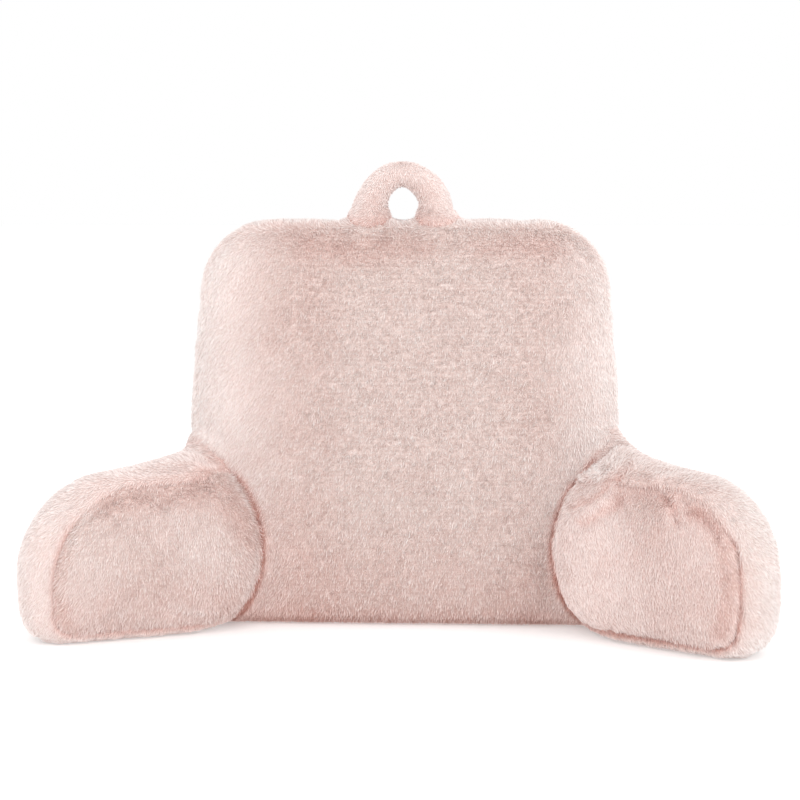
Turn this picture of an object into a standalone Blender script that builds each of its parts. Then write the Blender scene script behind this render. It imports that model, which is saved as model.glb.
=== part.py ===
"""A reading pillow with arms: a filled back on a flat foot, two splayed filled arms with sewn-in inner
panels, and a padded carrying loop.

Metres, +Z up. The pillow faces -Y and stands on z = 0. The origin is on the foot, under the middle of
the back. Every size runs to the tips of the pile.
"""

import math
from collections import namedtuple

import bmesh
import bpy
import numpy as np

GAP = 0.0003  # between two pieces that touch

# The back, seen from the front: it narrows to the top and its foot is pressed flat.
BACK_HEIGHT = 0.452
BACK_HALF_FOOT = 0.252
BACK_HALF_TOP = 0.227
BACK_SINK = 0.012  # how far the round foot is pressed in
BACK_TOP_RADIUS = 0.080
BACK_FOOT_RADIUS = 0.040
BACK_SIDE_BOW = 0.004

# The back, seen from the side: a wedge whose front leans back.
BACK_FRONT_FOOT = -0.100
BACK_FRONT_TOP = -0.040
BACK_REAR_FOOT = 0.100
BACK_REAR_TOP = 0.078
BACK_CROWN = 0.007
BACK_SQUARENESS = 4.2  # 2 is an ellipse; higher keeps the boxed edge
BACK_PARALLELS = 22
BACK_LAST_PARALLEL = 0.96  # of the way from the boxed edge to the middle of a face

# An arm lies along its own X, outwards, with its thickness along +Y and its inner panel at y = 0. Length
# and height run to the panel's seam.
Arm = namedtuple(
    "Arm",
    "side root_x splay_deg length height top_radius seam_foot_radius foot_radius end_bulge top_bulge"
    " shoulder seam_rise",
)
ARMS = {
    "left": Arm(-1, 0.145, 26.5, 0.242, 0.1755, 0.106, 0.026, 0.059, 0.027, 0.005, 0.051, 0.007),
    "right": Arm(1, 0.157, 37.5, 0.249, 0.1820, 0.096, 0.036, 0.070, 0.016, 0.005, 0.043, -0.009),
}
ARM_ROOT_Y = -0.108
ARM_THICKNESS = 0.130
STRIP_STEPS = 9
ARM_BURIED = 0.105  # how far the arm's root would run on inside the back
PANEL_BURIED = 0.035  # how far the panel's would
INNER_RADIUS = 0.040  # of the outline's corners inside the back
ROOT_START = 0.040  # from here inwards the arm's root is longer than the panel's
PARALLELS = (0.93, 0.86, 0.78, 0.67, 0.51, 0.28)  # shares of an outline at which a broad face is divided
REAR_PARALLELS = (0.92, 0.78, 0.55, 0.30)
ARM_REAR_CROWN = 0.014
END_TAPER = 0.046  # by which the outer face is shorter than the panel
TOP_TAPER = 0.024
SHOULDER_RUN = 0.190  # over which the strip rises to the back
SHOULDER_ROUND = 0.50  # the share of the thickness over which it does so
FOOT_SINK = 0.022
FOOT_ROUND = 0.30  # the share of the thickness over which the strip curves under
SEAM_LIFT = 0.006  # of the panel's seam over the floor
SEAM_DEPTH = 0.005
SEAM_EDGE = 0.004  # by which the strip stands past the seam where it starts
RECESS_DEPTH = 0.016
RECESS_WALL = 0.006
TURN_MIDDLE = -0.011  # where the root turns back into the back, along the arm, at half height
TURN_BOW = 0.050  # how much further out it does so at the top and at the foot
TURN_RUN = 0.060
TURN_DEPTH = 0.034
TURN_MOST = 0.080
PANEL_EDGE = 0.003  # by which the panel's edge is rounded, in its plane
PANEL_RIM = 0.010  # from the panel's side to the top of its raised rim
PANEL_RIDGE = 0.003  # how far the rim stands in front of the seam's plane
PANEL_CROWN = 0.013

# The loop: an arch of oval section, thinner at its top.
LOOP_HALF_SPAN = 0.0385
LOOP_RISE = 0.0490
LOOP_LEG_HALF = (0.0205, 0.0230)  # across and along Y
LOOP_TOP_HALF = (0.0140, 0.0200)
LOOP_X = -0.002
LOOP_Y = 0.006
LOOP_BURIED = 0.045

BLUSH = (0.76, 0.55, 0.52, 1.0)
BLUSH_PANEL = (0.78, 0.58, 0.55, 1.0)


# ---------------------------------------------------------------- outlines

Corner = namedtuple("Corner", "x z radius arc_steps side_steps")


def rounded_outline(corners, grow=0.0):
    """Points round a closed outline, anticlockwise. Each corner is an arc, and a straight side follows it."""
    points = []
    for index, corner in enumerate(corners):
        place = np.array((corner.x, corner.z))
        before, after = corners[index - 1], corners[(index + 1) % len(corners)]
        back = unit(np.array((before.x, before.z)) - place)
        on = unit(np.array((after.x, after.z)) - place)
        half = math.acos(float(np.clip(back @ on, -1, 1))) / 2
        centre = place + unit(back + on) * corner.radius / math.sin(half)
        start = math.atan2(*(place + back * corner.radius / math.tan(half) - centre)[::-1])
        turn = math.pi - 2 * half
        for step in range(corner.arc_steps + 1):
            angle = start + turn * step / corner.arc_steps
            reach = corner.radius + grow
            points.append(centre + reach * np.array((math.cos(angle), math.sin(angle))))
        points.extend([None] * corner.side_steps)
    return fill_sides(points)


def fill_sides(points):
    """Puts evenly spaced points in the places held for each straight side."""
    count = len(points)
    filled = list(points)
    for index in range(count):
        if points[index] is not None or points[index - 1] is None:
            continue
        run = 1
        while points[(index + run) % count] is None:
            run += 1
        start, end = points[index - 1], points[(index + run) % count]
        for step in range(run):
            filled[(index + step) % count] = start + (end - start) * (step + 1) / (run + 1)
    return np.array(filled)


def unit(vector):
    return vector / np.linalg.norm(vector)


def inset(outline, distance):
    """The outline moved inwards along its own normals."""
    along = np.roll(outline, -1, axis=0) - np.roll(outline, 1, axis=0)
    along /= np.linalg.norm(along, axis=1)[:, None]
    return outline + distance * np.stack((-along[:, 1], along[:, 0]), axis=1)


def toward(outline, centre, share):
    """The outline shrunk to a share of its size about a centre."""
    return centre + (outline - centre) * share


# ---------------------------------------------------------------- meshes


def ringed_mesh(name, first_pole, rings, last_pole):
    """A closed mesh: a sphere whose parallels are laid on the rings and whose poles on the two points."""
    around = len(rings[0])
    down = len(rings) + 1
    bm = bmesh.new()
    bmesh.ops.create_uvsphere(bm, u_segments=around, v_segments=down, radius=1)
    for vertex in bm.verts:
        x, y, z = vertex.co
        ring = round(math.acos(max(-1.0, min(1.0, z))) / math.pi * down)
        column = round(math.atan2(x, y) / (2 * math.pi) * around) % around
        if ring == 0:
            vertex.co = first_pole
        elif ring == down:
            vertex.co = last_pole
        else:
            vertex.co = rings[ring - 1][column]
    # One fixed diagonal, so that the faces of two pieces that lie against each other run alike.
    bmesh.ops.triangulate(bm, faces=bm.faces, quad_method="FIXED")
    if bm.calc_volume(signed=True) < 0:
        bmesh.ops.reverse_faces(bm, faces=bm.faces)
    mesh = bpy.data.meshes.new(name)
    bm.to_mesh(mesh)
    bm.free()
    mesh.shade_smooth()
    return mesh


def fabric(name, colour):
    material = bpy.data.materials.new(name)
    material.use_nodes = True
    shader = material.node_tree.nodes["Principled BSDF"]
    shader.inputs["Base Color"].default_value = colour
    shader.inputs["Roughness"].default_value = 0.95
    shader.inputs["Metallic"].default_value = 0.0
    return material


def place(mesh, parent, material=None, location=(0, 0, 0), turn=0.0):
    piece = bpy.data.objects.new(mesh.name, mesh)
    bpy.context.scene.collection.objects.link(piece)
    piece.location = location
    piece.rotation_euler.z = turn
    piece.parent = parent
    if material is None:
        piece.hide_render = True
        piece.display_type = "WIRE"
    else:
        mesh.materials.append(material)
    return piece


def cut(piece, cutter):
    boolean = piece.modifiers.new("seat on the back", "BOOLEAN")
    boolean.operation = "DIFFERENCE"
    boolean.solver = "EXACT"
    boolean.object = cutter


# ---------------------------------------------------------------- back


def back_outline(grow):
    corners = (
        Corner(BACK_HALF_FOOT, -BACK_SINK, BACK_FOOT_RADIUS, 5, 9),
        Corner(BACK_HALF_TOP, BACK_HEIGHT, BACK_TOP_RADIUS, 7, 10),
        Corner(-BACK_HALF_TOP, BACK_HEIGHT, BACK_TOP_RADIUS, 7, 9),
        Corner(-BACK_HALF_FOOT, -BACK_SINK, BACK_FOOT_RADIUS, 5, 10),
    )
    outline = rounded_outline(corners, grow)
    height = np.clip(outline[:, 1] / BACK_HEIGHT, 0, 1)
    outline[:, 0] += np.sign(outline[:, 0]) * BACK_SIDE_BOW * np.sin(math.pi * height)
    return outline


def back_mesh(name, grow=0.0):
    """Parallels run from the middle of the front, over the boxed edge, to the middle of the rear."""
    outline = back_outline(grow)
    centre = np.array((0.0, BACK_HEIGHT * 0.48))
    floor = -10 * grow

    def at(points, angle):
        share = math.cos(angle) ** (2 / BACK_SQUARENESS)
        depth = math.copysign(abs(math.sin(angle)) ** (2 / BACK_SQUARENESS), angle)
        flat = toward(points, centre, share)
        rise = flat[:, 1] / BACK_HEIGHT
        front = BACK_FRONT_FOOT + (BACK_FRONT_TOP - BACK_FRONT_FOOT) * rise - grow
        rear = BACK_REAR_FOOT + (BACK_REAR_TOP - BACK_REAR_FOOT) * rise + grow
        crown = math.copysign(BACK_CROWN * (1 - share * share), angle)
        y = (front + rear) / 2 + depth * (rear - front) / 2 + crown
        return np.stack((flat[:, 0], y, np.maximum(flat[:, 1], floor)), axis=1)

    shares = np.linspace(-BACK_LAST_PARALLEL, BACK_LAST_PARALLEL, BACK_PARALLELS)
    turns = [math.pi / 2 * math.copysign(abs(share) ** 1.25, share) for share in shares]
    middle = centre[None, :]
    poles = [at(middle, angle)[0] for angle in (-math.pi / 2, math.pi / 2)]
    return ringed_mesh(name, poles[0], [at(outline, angle) for angle in turns], poles[1])


# ---------------------------------------------------------------- arms


def arm_outline(arm, length, height, foot, foot_radius, rise):
    """The arm's outline seen along its thickness. Its inner end lies inside the back, and its top may rise
    towards that end."""
    outline = rounded_outline((
        Corner(length, foot, foot_radius, 5, 4),
        Corner(length, height, arm.top_radius, 8, 8),
        Corner(-PANEL_BURIED, height, INNER_RADIUS, 4, 6),
        Corner(-PANEL_BURIED, foot, INNER_RADIUS, 4, 9),
    ))
    near_root = np.clip(1 - outline[:, 0] / SHOULDER_RUN, 0, 1.3) ** 2
    outline[:, 1] += rise * near_root * np.clip(outline[:, 1] / height, 0, 1) ** 2
    return outline


def seam_outline(arm):
    return arm_outline(arm, arm.length, arm.height, SEAM_LIFT, arm.seam_foot_radius, arm.seam_rise)


def pad_outline(seam):
    """The panel's side. The recess floor is divided along it too, so that the two lie parallel."""
    return inset(seam, RECESS_WALL + 2 * GAP)


def strip_outline(arm, share):
    """The arm's outline at a share of its thickness: it swells past the seam, then tapers to the rear."""
    swell = math.sin(math.pi * min(1.0, share ** 0.75))
    length = arm.length + SEAM_EDGE + arm.end_bulge * swell - END_TAPER * share * share
    height = arm.height + SEAM_EDGE + arm.top_bulge * swell - TOP_TAPER * share * share
    under = math.sin(math.pi / 2 * min(1.0, share / FOOT_ROUND))
    foot_radius = arm.seam_foot_radius + (arm.foot_radius - arm.seam_foot_radius) * under
    shoulder = math.sin(math.pi / 2 * min(1.0, share / SHOULDER_ROUND))
    rise = arm.seam_rise + (arm.shoulder - arm.seam_rise) * shoulder
    outline = arm_outline(arm, length, height, SEAM_LIFT - FOOT_SINK * under, foot_radius, rise)
    stretch = (ROOT_START + ARM_BURIED) / (ROOT_START + PANEL_BURIED)
    outline[:, 0] = np.minimum(outline[:, 0], ROOT_START + (outline[:, 0] - ROOT_START) * stretch)
    return outline


def arm_points(arm, flat, depth):
    """Points of an outline in the arm's own frame, mirrored for the left arm and pressed flat at the foot.

    Near the root they turn back, so that the arm runs into the back's leaning front in a rounded crease.
    """
    middle = arm.height / 2
    edge = TURN_MIDDLE + TURN_BOW * ((flat[:, 1] - middle) / middle) ** 2
    near_root = np.maximum(1 - (flat[:, 0] - edge) / TURN_RUN, 0)
    turn = TURN_DEPTH * np.where(near_root < 1, near_root ** 2, 2 * near_root - 1)
    deep = depth + np.minimum(turn, TURN_MOST) * np.clip(1 - depth / ARM_THICKNESS, 0, 1)
    return np.stack((arm.side * flat[:, 0], deep, np.maximum(flat[:, 1], 0.0)), axis=1)


def arm_mesh(name, arm):
    """Parallels run from the panel's recess, over its seam and the bulging strip, to the outer face."""
    seam = seam_outline(arm)
    centre = np.array((arm.length * 0.55, arm.height * 0.50))
    pad = pad_outline(seam)
    parallels = [(toward(pad, centre, share), RECESS_DEPTH) for share in PARALLELS[::-1]]
    parallels += [(pad, RECESS_DEPTH), (inset(seam, RECESS_WALL), RECESS_DEPTH), (seam, SEAM_DEPTH)]
    for step in range(STRIP_STEPS + 1):
        share = max(step / STRIP_STEPS, 0.03)
        parallels.append((strip_outline(arm, share), SEAM_DEPTH + (ARM_THICKNESS - SEAM_DEPTH) * share))
    rear = strip_outline(arm, 1.0)
    for share in REAR_PARALLELS:
        depth = ARM_THICKNESS + ARM_REAR_CROWN * (1.2 - share * share)
        parallels.append((toward(rear, centre, share), depth))
    last_depth = ARM_THICKNESS + ARM_REAR_CROWN * 1.2
    poles = [arm_points(arm, centre[None, :], depth)[0] for depth in (RECESS_DEPTH, last_depth)]
    return ringed_mesh(name, poles[0], [arm_points(arm, *parallel) for parallel in parallels], poles[1])


def panel_mesh(name, arm):
    """A D-shaped crowned pad that fills the recess, with a raised rim beside the seam."""
    seam = seam_outline(arm)
    centre = np.array((arm.length * 0.55, arm.height * 0.50))
    under = RECESS_DEPTH - GAP
    side = pad_outline(seam)
    rim = inset(side, PANEL_RIM)
    crown = PANEL_CROWN - PANEL_RIDGE
    parallels = [(toward(side, centre, share), under) for share in PARALLELS[::-1]]
    parallels += [(side, under), (side, under * 0.6)]
    parallels += [(inset(side, PANEL_EDGE), GAP), (rim, -PANEL_RIDGE)]
    for share in PARALLELS:
        parallels.append((toward(rim, centre, share), -PANEL_RIDGE - crown * (1 - share * share)))
    poles = [arm_points(arm, centre[None, :], depth)[0] for depth in (under, -PANEL_CROWN)]
    return ringed_mesh(name, poles[0], [arm_points(arm, *parallel) for parallel in parallels], poles[1])


# ---------------------------------------------------------------- loop


def loop_mesh(name):
    """An oval swept over an arch, whose two ends run on down into the back."""
    arch_steps, leg_steps, around = 14, 2, 14
    rings = []
    stations = [(-1, LOOP_BURIED * (leg_steps - s) / leg_steps, 0.0) for s in range(leg_steps)]
    stations += [(0, 0.0, math.pi * s / arch_steps) for s in range(arch_steps + 1)]
    stations += [(1, LOOP_BURIED * (s + 1) / leg_steps, math.pi) for s in range(leg_steps)]
    top = BACK_HEIGHT
    for end, below, angle in stations:
        centre = np.array((
            LOOP_X - LOOP_HALF_SPAN * math.cos(angle), LOOP_Y, top + LOOP_RISE * math.sin(angle) - below
        ))
        along = unit(np.array((LOOP_HALF_SPAN * math.sin(angle), 0.0, LOOP_RISE * math.cos(angle))))
        across = np.array((along[2], 0.0, -along[0]))
        lift = math.sin(angle)
        wide = LOOP_LEG_HALF[0] + (LOOP_TOP_HALF[0] - LOOP_LEG_HALF[0]) * lift
        deep = LOOP_LEG_HALF[1] + (LOOP_TOP_HALF[1] - LOOP_LEG_HALF[1]) * lift
        turns = [2 * math.pi * s / around for s in range(around)]
        rings.append([
            centre + across * wide * math.cos(turn) + np.array((0.0, deep * math.sin(turn), 0.0))
            for turn in turns
        ])
    ends = [np.mean(rings[i], axis=0) - np.array((0.0, 0.0, 0.002)) for i in (0, -1)]
    return ringed_mesh(name, ends[0], rings, ends[1])


# ---------------------------------------------------------------- the pillow


def main():
    for leftover in list(bpy.data.objects):
        bpy.data.objects.remove(leftover, do_unlink=True)
    pillow = bpy.data.objects.new("pillow", None)
    bpy.context.scene.collection.objects.link(pillow)
    plush = fabric("blush plush", BLUSH)
    panel_plush = fabric("blush plush panel", BLUSH_PANEL)

    place(back_mesh("back_cushion"), pillow, plush)
    clearance = place(back_mesh("back_clearance", GAP), pillow)
    for word, arm in ARMS.items():
        location = (arm.side * arm.root_x, ARM_ROOT_Y, 0.0)
        turn = -arm.side * math.radians(arm.splay_deg)
        body = place(arm_mesh(f"arm_{word}", arm), pillow, plush, location, turn)
        panel = place(panel_mesh(f"arm_panel_{word}", arm), pillow, panel_plush, location, turn)
        cut(body, clearance)
        cut(panel, clearance)
    cut(place(loop_mesh("carry_handle"), pillow, plush), clearance)


main()
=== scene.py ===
"""The dressed look of a reading pillow with arms: filled cushions under a dense short plush.

Each cushion starts as a copy of its solid. It is drawn in by the depth of the pile, and filled out
by a short cloth simulation, held at the seams. It is given its seams, folds and dents, and is then
covered with tufts that reach the solid's surface. Metres, +Z up; the pillow faces -Y.
"""

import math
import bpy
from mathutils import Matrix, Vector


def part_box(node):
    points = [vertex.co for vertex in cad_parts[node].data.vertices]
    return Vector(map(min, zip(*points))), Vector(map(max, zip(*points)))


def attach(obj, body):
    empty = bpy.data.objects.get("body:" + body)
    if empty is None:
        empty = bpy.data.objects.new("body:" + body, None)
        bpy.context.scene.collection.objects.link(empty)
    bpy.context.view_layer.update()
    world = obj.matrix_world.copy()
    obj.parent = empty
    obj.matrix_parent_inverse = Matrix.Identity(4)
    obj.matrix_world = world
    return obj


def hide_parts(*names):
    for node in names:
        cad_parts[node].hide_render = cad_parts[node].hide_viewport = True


bl_info = {
    "name": "Reading Pillow with Arms",
    "version": (1, 0, 0),
    "blender": (4, 5, 0),
    "location": "View3D > Sidebar > Reading Pillow",
    "description": "Dresses a reading pillow with arms in cloth and plush, and sets its studio",
    "category": "Add Mesh",
}

from collections import namedtuple

import bmesh
import bpy
import numpy as np
from bpy.props import FloatProperty, FloatVectorProperty, IntProperty, PointerProperty
from bpy.types import Operator, Panel, PropertyGroup
from bpy.utils import register_class, unregister_class
from mathutils import Vector, noise
from mathutils.bvhtree import BVHTree

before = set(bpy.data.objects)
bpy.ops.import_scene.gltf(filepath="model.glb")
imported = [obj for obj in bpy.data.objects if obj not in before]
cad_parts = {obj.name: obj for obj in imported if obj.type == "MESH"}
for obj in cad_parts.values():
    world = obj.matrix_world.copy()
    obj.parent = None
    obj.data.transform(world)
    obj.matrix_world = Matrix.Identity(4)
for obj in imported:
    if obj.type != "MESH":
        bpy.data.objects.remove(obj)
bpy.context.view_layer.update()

BODY = "root"
NODES = (
    "back_cushion",
    "arm_left",
    "arm_right",
    "arm_panel_left",
    "arm_panel_right",
    "carry_handle",
)

# How each arm lies: its side, the place of its root and its splay.
ARM_ROOT_Y = -0.108
ArmPlace = namedtuple("ArmPlace", "side root_x splay_deg")
ARM_PLACES = {"left": ArmPlace(-1, 0.145, 26.5), "right": ArmPlace(1, 0.157, 37.5)}


# ---------------- settings


def plain_setting(name, description, default, **limits):
    return FloatProperty(name=name, description=description, default=default, **limits)


def size_setting(name, description, default, **limits):
    return plain_setting(name, description, default, unit="LENGTH", **limits)


def turn_setting(name, description, degrees):
    return plain_setting(name, description, math.radians(degrees), unit="ROTATION")


def tint_setting(name, description, default):
    limits = {"subtype": "COLOR", "size": 3, "min": 0, "max": 1}
    return FloatVectorProperty(name=name, description=description, default=default, **limits)


class PlushSettings(PropertyGroup):
    pile_depth: size_setting("Pile depth", "From the cloth to the pile's tips", 0.0040, min=0.001)
    tuft_length: size_setting("Tuft length", "Length before it is combed over", 0.0064, min=0.002)
    tuft_width: size_setting("Tuft width", "Width of a tuft at its root", 0.0019, min=0.0005)
    spacing: size_setting("Spacing", "Least distance between two tufts", 0.00154, min=0.0008)
    lean_combed: turn_setting("Combed lean", "Lean of the tufts where the pile is combed", 75)
    lean_upright: turn_setting("Upright lean", "Lean of the tufts where the pile stands up", 24)
    # The roots are darker than the tips, in part as painted shade down in the pile between the
    # tufts.
    root_deep: tint_setting("Deep root", "Root colour where it is parted", (0.58, 0.29, 0.235))
    root_pale: tint_setting("Pale root", "Root colour where it lies smooth", (0.78, 0.675, 0.64))
    tip_deep: tint_setting("Deep tip", "Tip colour of the darker tufts", (0.94, 0.665, 0.605))
    tip_pale: tint_setting("Pale tip", "Tip colour of the paler tufts", (0.957, 0.925, 0.912))


class CushionSettings(PropertyGroup):
    pressure: plain_setting("Filling pressure", "Pressure of the filling", 4.0, min=0)
    slack: plain_setting("Slack", "How much larger the cloth is cut", 0.03, min=0, subtype="FACTOR")
    most_swell: size_setting("Most swell", "Furthest that the filling moves the cloth", 0.003)
    seam_depth: size_setting("Seam depth", "How deep a sewn edge lies in the cloth", 0.0024)
    frames: IntProperty(name="Frames", description="Frames of the simulation", default=20, min=2)


class StudioSettings(PropertyGroup):
    camera_azimuth: turn_setting("Camera azimuth", "Angle of view round the pillow", 3)
    camera_distance: size_setting("Camera distance", "Level distance from the middle", 2.4)
    camera_height: size_setting("Camera height", "Height over the surface", 0.48)
    aim_height: size_setting("Aim height", "Height that the camera looks at", 0.215)
    key_power: plain_setting("Key light", "Power of the key light", 24.2, unit="POWER")
    fill_power: plain_setting("Fill light", "Power of the fill light", 19.0, unit="POWER")
    back_power: plain_setting("Back light", "Power of the back light", 15.0, unit="POWER")
    surround: plain_setting("Surround", "Light from all round", 0.8, min=0)


class ReadingPillowSettings(PropertyGroup):
    plush: PointerProperty(type=PlushSettings)
    cushion: PointerProperty(type=CushionSettings)
    studio: PointerProperty(type=StudioSettings)


# ---------------- node helpers


HALF = (0.5, 0.5, 0.5)


def socket(sockets, name):
    """The socket of that name which is in use, where a node has one for each kind of data."""
    return next(found for found in sockets if found.name == name and found.enabled)


def add_node(tree, kind, inputs=None, **settings):
    """A node with its settings made and its inputs set or linked."""
    node = tree.nodes.new(kind)
    for name, value in settings.items():
        setattr(node, name, value)
    for name, value in (inputs or {}).items():
        into = node.inputs[name] if isinstance(name, int) else socket(node.inputs, name)
        if isinstance(value, bpy.types.NodeSocket):
            tree.links.new(value, into)
        else:
            into.default_value = value
    return node


def new_group(name, kind, inputs, output, output_kind):
    """An empty node group with a kind of socket for each name, and what it is given."""
    tree = bpy.data.node_groups.new(name, kind)
    for label, data in inputs.items():
        tree.interface.new_socket(label, in_out="INPUT", socket_type=f"NodeSocket{data}")
    tree.interface.new_socket(output, in_out="OUTPUT", socket_type=f"NodeSocket{output_kind}")
    return tree, add_node(tree, "NodeGroupInput").outputs


def work(kind, inputs, **settings):
    """A node in the tree that its inputs come from."""
    sockets = (value for value in inputs.values() if isinstance(value, bpy.types.NodeSocket))
    return add_node(next(sockets).id_data, kind, inputs, **settings)


def calculate(operation, *values):
    return work("ShaderNodeMath", dict(enumerate(values)), operation=operation).outputs[0]


def plus(first, second):
    return calculate("ADD", first, second)


def times(first, second):
    return calculate("MULTIPLY", first, second)


def rest_of(share):
    return calculate("SUBTRACT", 1.0, share)


def rising(start, gain, value):
    """The start, and the gain times the value."""
    return plus(start, times(value, gain))


def centred(value, factor):
    """A value around a half, moved to 0 and times the factor."""
    return times(calculate("SUBTRACT", value, 0.5), factor)


def vector_of(operation, *values):
    node = work("ShaderNodeVectorMath", dict(enumerate(values)), operation=operation)
    return node.outputs["Value" if operation == "DOT_PRODUCT" else "Vector"]


def scaled(vector, factor):
    node = work("ShaderNodeVectorMath", {0: vector, "Scale": factor}, operation="SCALE")
    return node.outputs["Vector"]


def joined(**axes):
    return work("ShaderNodeCombineXYZ", axes).outputs[0]


def axes_of(vector):
    return work("ShaderNodeSeparateXYZ", {0: vector}).outputs


def position(tree):
    return add_node(tree, "GeometryNodeInputPosition").outputs[0]


def named(tree, name, kind="FLOAT"):
    """What the geometry holds under that name."""
    node = add_node(tree, "GeometryNodeInputNamedAttribute", {"Name": name}, data_type=kind)
    return socket(node.outputs, "Attribute")


def store(geometry, name, value, domain, kind="FLOAT"):
    """The geometry with a value held on it under that name."""
    inputs = {"Geometry": geometry, "Name": name, "Value": value}
    kinds = {"data_type": kind, "domain": domain}
    return work("GeometryNodeStoreNamedAttribute", inputs, **kinds).outputs[0]


def random_value(tree, low, high, seed, kind="FLOAT"):
    inputs = {"Min": low, "Max": high, "Seed": seed}
    return socket(add_node(tree, "FunctionNodeRandomValue", inputs, data_type=kind).outputs, "Value")


def noise_of(tree, scale, detail, where=None):
    inputs = {"Scale": scale, "Detail": detail}
    if where is not None:
        inputs["Vector"] = where
    return add_node(tree, "ShaderNodeTexNoise", inputs).outputs


def smooth_range(value, low, high, start=0.0, end=1.0):
    """The start where the value is low, the end where it is high, and smooth between."""
    inputs = {"Value": value, "From Min": low, "From Max": high, "To Min": start, "To Max": end}
    return work("ShaderNodeMapRange", inputs, interpolation_type="SMOOTHSTEP").outputs[0]


def mix_colours(factor, low, high):
    mix = work("ShaderNodeMix", {"Factor": factor, "A": low, "B": high}, data_type="RGBA")
    return socket(mix.outputs, "Result")


# ---------------- plush


FLOOR_GAP = 0.0004  # how near the floor a tuft may hang
MOST_TUFTS = 2000000.0  # to a square metre, so that the spacing alone says how dense they stand
PILE_EDGE = 0.25  # where the first tufts stand, and how fast they become dense from there
PILE_RISE = 8.0
ROOTED = 0.10  # the share of a tuft below the cloth

SWIRL_SCALE = 16.0
PATCH_SCALE = 30.0
PATCH_AMOUNT = 0.26  # how much the tone differs from patch to patch
CLUMP_SCALE = 650.0
CLUMP_STRETCH = (1.5, 1.5, 0.8)  # clumps of tufts are taller than wide
CLUMP_TURN = 3.0  # how far a clump turns its tufts, and how far it changes their lean
CLUMP_SWAY = 2.6
VALLEY_SCALE = 400.0
VALLEY_RANGE = (0.42, 0.58)
VALLEY_DROP = 0.20  # how much shorter the tufts between two clumps are
VALLEY_SHADE = 0.78  # how much less of the pale tip they show, and how much less deep in a crease
# Painted shade: tufts in a crease show more of the dark root.
CREASE_SHADE = 0.55
CREASE_RANGE = (0.05, 0.45)  # the tones over which a crease ends
COMB_BONUS = 0.02  # how much more of the pale tip a combed tuft shows
SMOOTH_LOOSE = 0.36  # how far loose tufts are shaded as their cloth, and how much more combed ones
SMOOTH_COMBED = 0.60


def pile_points(tree, given):
    """Points over the cloth where it carries pile, and how the cloth faces there."""
    standing = calculate("SUBTRACT", named(tree, "pile"), PILE_EDGE)
    points = work(
        "GeometryNodeDistributePointsOnFaces",
        {
            "Mesh": given["Cloth"],
            "Seed": given["Seed"],
            "Distance Min": given["Spacing"],
            "Density Max": MOST_TUFTS,
            "Density Factor": times(standing, PILE_RISE),
        },
        distribute_method="POISSON",
    ).outputs
    return points["Points"], points["Normal"]


def tuft_direction(tree, given, skin, clump, loose):
    """Where each tuft points: along the nap where it is combed, and freer where it is loose."""
    freedom = rising(0.25, 0.75, loose)
    swirl = vector_of("SUBTRACT", noise_of(tree, SWIRL_SCALE, 1.0)["Color"], HALF)
    tousle = scaled(vector_of("SUBTRACT", clump["Color"], HALF), CLUMP_TURN)
    single = random_value(tree, (-0.5, -0.5, -0.5), HALF, 11, "FLOAT_VECTOR")
    tousle = scaled(vector_of("ADD", tousle, single), freedom)
    nap = named(tree, "nap", "FLOAT_VECTOR")
    combing = vector_of("ADD", nap, scaled(swirl, given["Swirl"]))
    combing = vector_of("ADD", combing, scaled(tousle, given["Unrest"]))
    inwards = scaled(skin, vector_of("DOT_PRODUCT", combing, skin))
    along_skin = vector_of("NORMALIZE", vector_of("SUBTRACT", combing, inwards))

    ends = {"Factor": named(tree, "comb"), "A": given["Upright Lean"], "B": given["Combed Lean"]}
    lean = socket(work("ShaderNodeMix", ends, data_type="FLOAT").outputs, "Result")
    sway = plus(centred(clump["Fac"], CLUMP_SWAY), random_value(tree, -0.1, 0.1, 12))
    leaning = plus(lean, times(sway, freedom))
    upwards = scaled(skin, calculate("COSINE", leaning))
    return vector_of("ADD", upwards, scaled(along_skin, calculate("SINE", leaning)))


def turned_to(tree, direction):
    """The rotation that points a tuft that way, turned anyhow about itself."""
    turn = joined(Z=random_value(tree, 0.0, 2 * math.pi, 13))
    start = work("FunctionNodeEulerToRotation", {0: turn}).outputs[0]
    inputs = {"Rotation": start, "Vector": direction}
    return work("FunctionNodeAlignRotationToVector", inputs, axis="Z").outputs[0]


def one_tuft(tree):
    """A thin cone on its root, which knows how far along it each point lies."""
    cone = add_node(
        tree, "GeometryNodeMeshCone",
        {"Vertices": 3, "Radius Top": 0.0, "Radius Bottom": 0.5, "Depth": 1.0},
        fill_type="NGON",
    ).outputs["Mesh"]
    marked = store(cone, "along", axes_of(position(tree))["Z"], "POINT")
    inputs = {"Geometry": marked, "Translation": (0.0, 0.0, -ROOTED)}
    return work("GeometryNodeTransform", inputs).outputs[0]


def tuft_look(tree, valleys, loose):
    """The tint of each tuft, and how far its colour stops short of the pale tip: at random, and as
    painted shade in the valleys between clumps and in creases.
    """
    tone = named(tree, "tone")
    speckle = times(rising(0.02, 0.08, loose), random_value(tree, -1.0, 1.0, 16))
    patches = centred(noise_of(tree, PATCH_SCALE, 3.0)["Fac"], PATCH_AMOUNT)
    tint = plus(plus(tone, speckle), patches)
    tint = calculate("MINIMUM", calculate("MAXIMUM", tint, 0.02), 0.98)
    worn = times(rising(0.05, 0.22, loose), random_value(tree, 0.0, 1.0, 17))
    # Painted shade: tufts in a crease show more of the dark root.
    creased = smooth_range(tone, *CREASE_RANGE, CREASE_SHADE, 0.0)
    short = plus(plus(times(valleys, VALLEY_SHADE), worn), creased)
    return tint, calculate("MINIMUM", short, 0.95)


def above_floor(tree, geometry):
    """The geometry with nothing below the floor."""
    at = axes_of(position(tree))
    place = joined(X=at["X"], Y=at["Y"], Z=calculate("MAXIMUM", at["Z"], FLOOR_GAP))
    return work("GeometryNodeSetPosition", {"Geometry": geometry, "Position": place}).outputs[0]


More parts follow.
